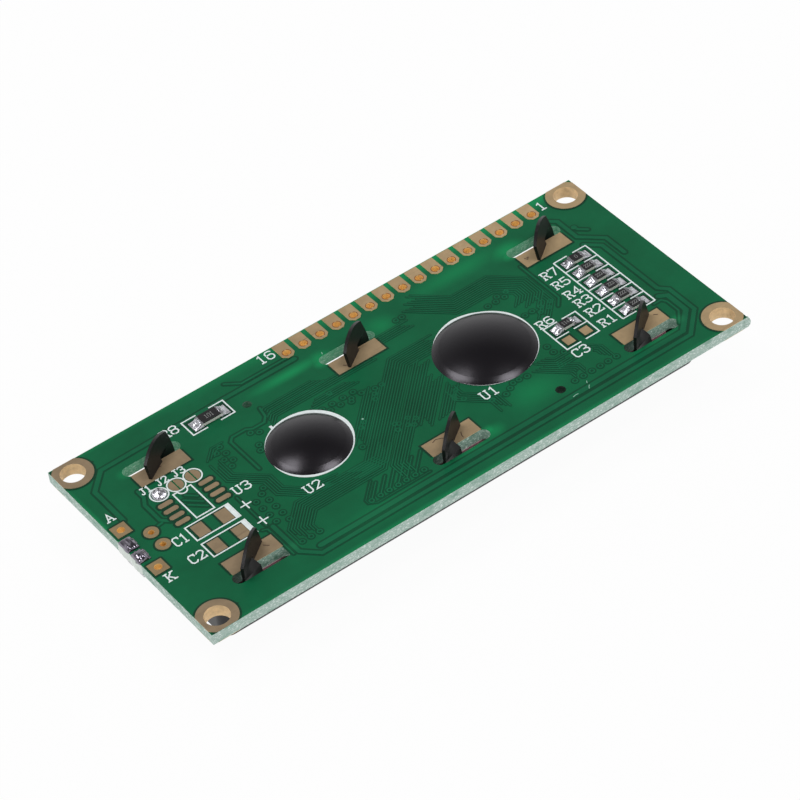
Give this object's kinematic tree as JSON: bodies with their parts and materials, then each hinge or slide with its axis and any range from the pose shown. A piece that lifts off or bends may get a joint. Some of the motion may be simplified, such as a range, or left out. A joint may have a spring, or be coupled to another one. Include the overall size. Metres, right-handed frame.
{
  "type": "character lcd module",
  "caption": "Two-line character display module seen from its circuit board side, with a stamped bezel, glass cell, backlight and a single row of header holes.",
  "frame": {"origin": "centre of the circuit board outline, on the front face of the bezel that the module lies on", "axes": "+X along the header row towards pin 1, +Y across the board towards the header edge, +Z out of the back of the circuit board"},
  "size_m": [0.0796, 0.0354, 0.011],
  "materials": {
    "solder_mask": "satin green solder mask over fibreglass",
    "gold_plating": "matt immersion gold",
    "solder": "bright rippled solder",
    "tin": "tinned end caps",
    "ceramic": "white alumina",
    "black_glaze": "dark glassy cover",
    "black_epoxy": "glossy black epoxy",
    "silicon": "polished grey",
    "black_steel": "satin black paint",
    "display_glass": "clear",
    "polariser": "glossy tinted film",
    "zebra_rubber": "matt layered elastomer",
    "white_plastic": "matt white",
    "clear_acrylic": "clear acrylic with printed dots",
    "film": "matt white film",
    "lamp": "pale yellow lens"
  },
  "bodies": {
    "root": {"backlight_frame": "white_plastic", "backlight_leds": "lamp", "backlight_pads": "gold_plating", "backlight_solder": "solder", "backlight_terminals": "tin", "bezel": "black_steel", "capacitor_pads": "gold_plating", "circuit_board": "solder_mask", "controller_pads": "gold_plating", "diffuser_film": "film", "driver_die_u1": "silicon", "driver_die_u2": "silicon", "epoxy_dome_u1": "black_epoxy", "epoxy_dome_u2": "black_epoxy", "front_glass": "display_glass", "front_polariser": "polariser", "header_pads": "gold_plating", "jumper_pads": "gold_plating", "jumper_solder": "solder", "light_guide": "clear_acrylic", "mounting_hole_rings": "gold_plating", "rear_glass": "display_glass", "rear_polariser": "polariser", "reflector_film": "film", "resistor_covers": "black_glaze", "resistor_end_caps": "tin", "resistor_lands": "gold_plating", "resistor_r1": "ceramic", "resistor_r2": "ceramic", "resistor_r3": "ceramic", "resistor_r4": "ceramic", "resistor_r5": "ceramic", "resistor_r6": "ceramic", "resistor_r7": "ceramic", "resistor_r8": "ceramic", "resistor_solder": "solder", "tab_landing_pads": "gold_plating", "zebra_strip_lower": "zebra_rubber", "zebra_strip_upper": "zebra_rubber"}
  },
  "joints": []
}
